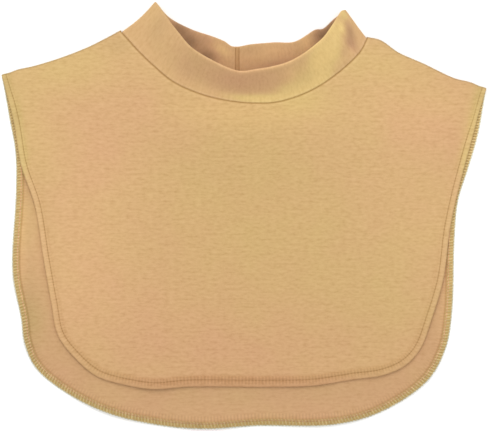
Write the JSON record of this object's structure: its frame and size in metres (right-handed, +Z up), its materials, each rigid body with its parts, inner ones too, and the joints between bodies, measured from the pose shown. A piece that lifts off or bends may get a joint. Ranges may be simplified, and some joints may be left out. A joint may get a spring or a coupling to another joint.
{
  "type": "turtleneck dickey",
  "caption": "Knitted mock turtleneck dickey lying flat, front up: a double collar band on a shorter front bib with a turned hem and a longer back bib with an overlocked edge.",
  "frame": {"origin": "middle of the footprint, on the table that the dickey lies on", "axes": "+X to the wearer's left as it lies front up, +Y towards the collar, +Z up from the table"},
  "size_m": [0.4054, 0.3578, 0.0316],
  "materials": {
    "band_jersey": "matt fine cotton jersey, camel",
    "front_jersey": "matt fine cotton jersey, camel",
    "back_jersey": "matt fine cotton jersey, camel, wrong side up"
  },
  "bodies": {
    "root": {"collar_band": "band_jersey", "front_bib": "front_jersey", "back_bib": "back_jersey"}
  },
  "joints": []
}
